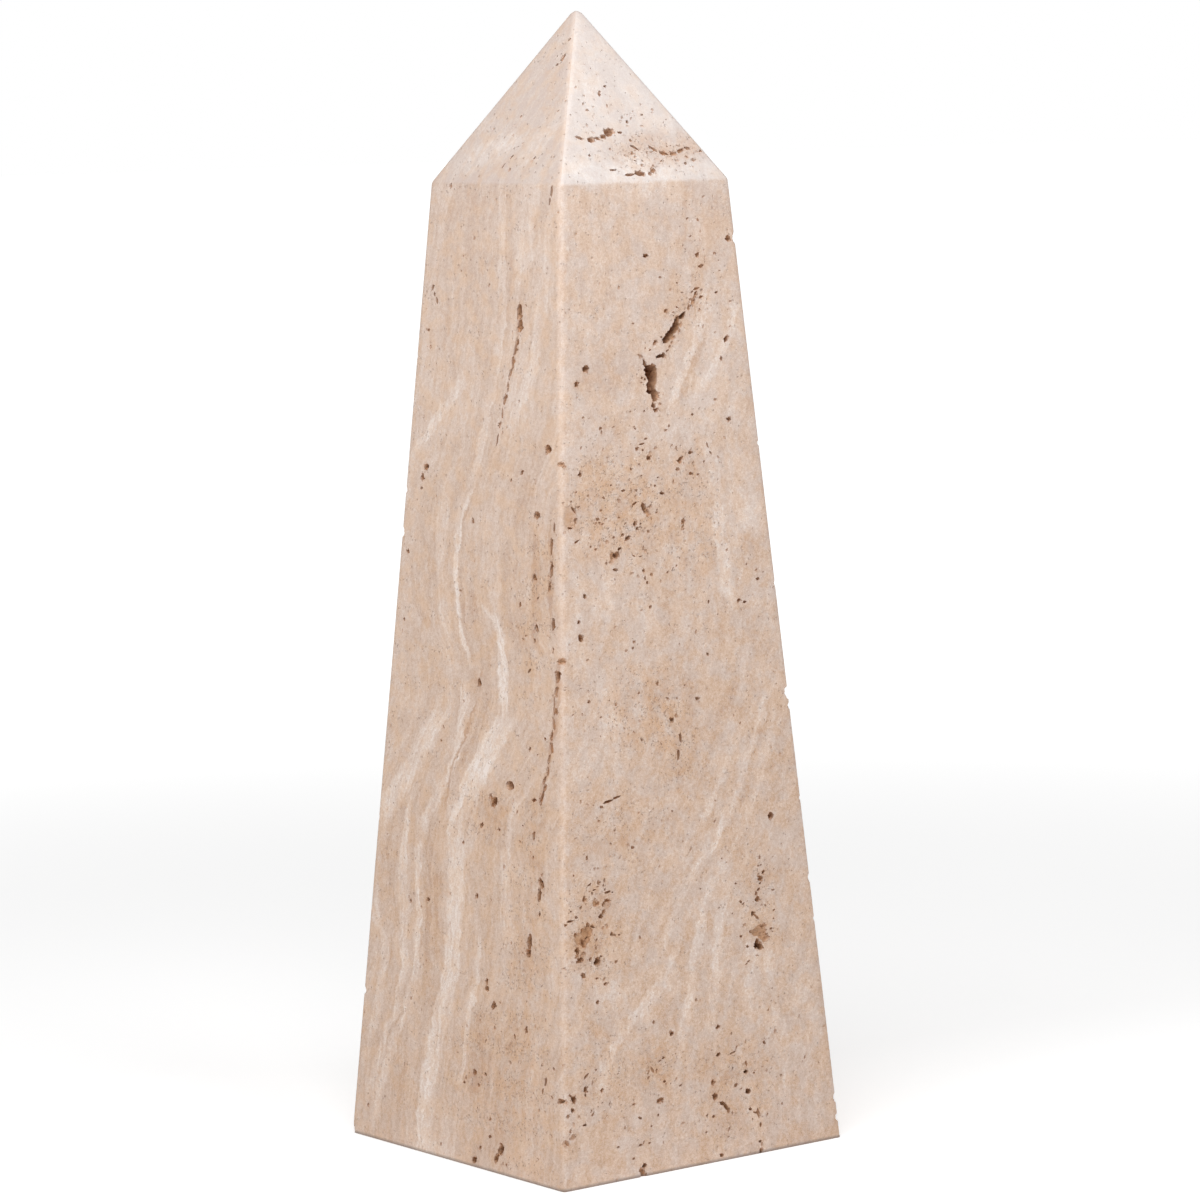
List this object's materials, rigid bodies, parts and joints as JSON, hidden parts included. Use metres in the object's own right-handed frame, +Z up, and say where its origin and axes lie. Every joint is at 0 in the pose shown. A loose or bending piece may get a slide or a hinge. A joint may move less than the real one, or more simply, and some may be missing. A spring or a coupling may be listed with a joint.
{
  "type": "tabletop stone obelisk",
  "caption": "Ornamental obelisk carved from one block of open-pored travertine: a squat tapering square shaft under a short pyramid point, with softened edges and a flat foot.",
  "frame": {"origin": "centre of the foot's underside", "axes": "+Z up along the tapering shaft, -Y out of the front face, -X out of the left face"},
  "size_m": [0.096, 0.096, 0.3051],
  "materials": {
    "travertine": "matte"
  },
  "bodies": {
    "root": {"stone_obelisk": "travertine"}
  },
  "joints": []
}
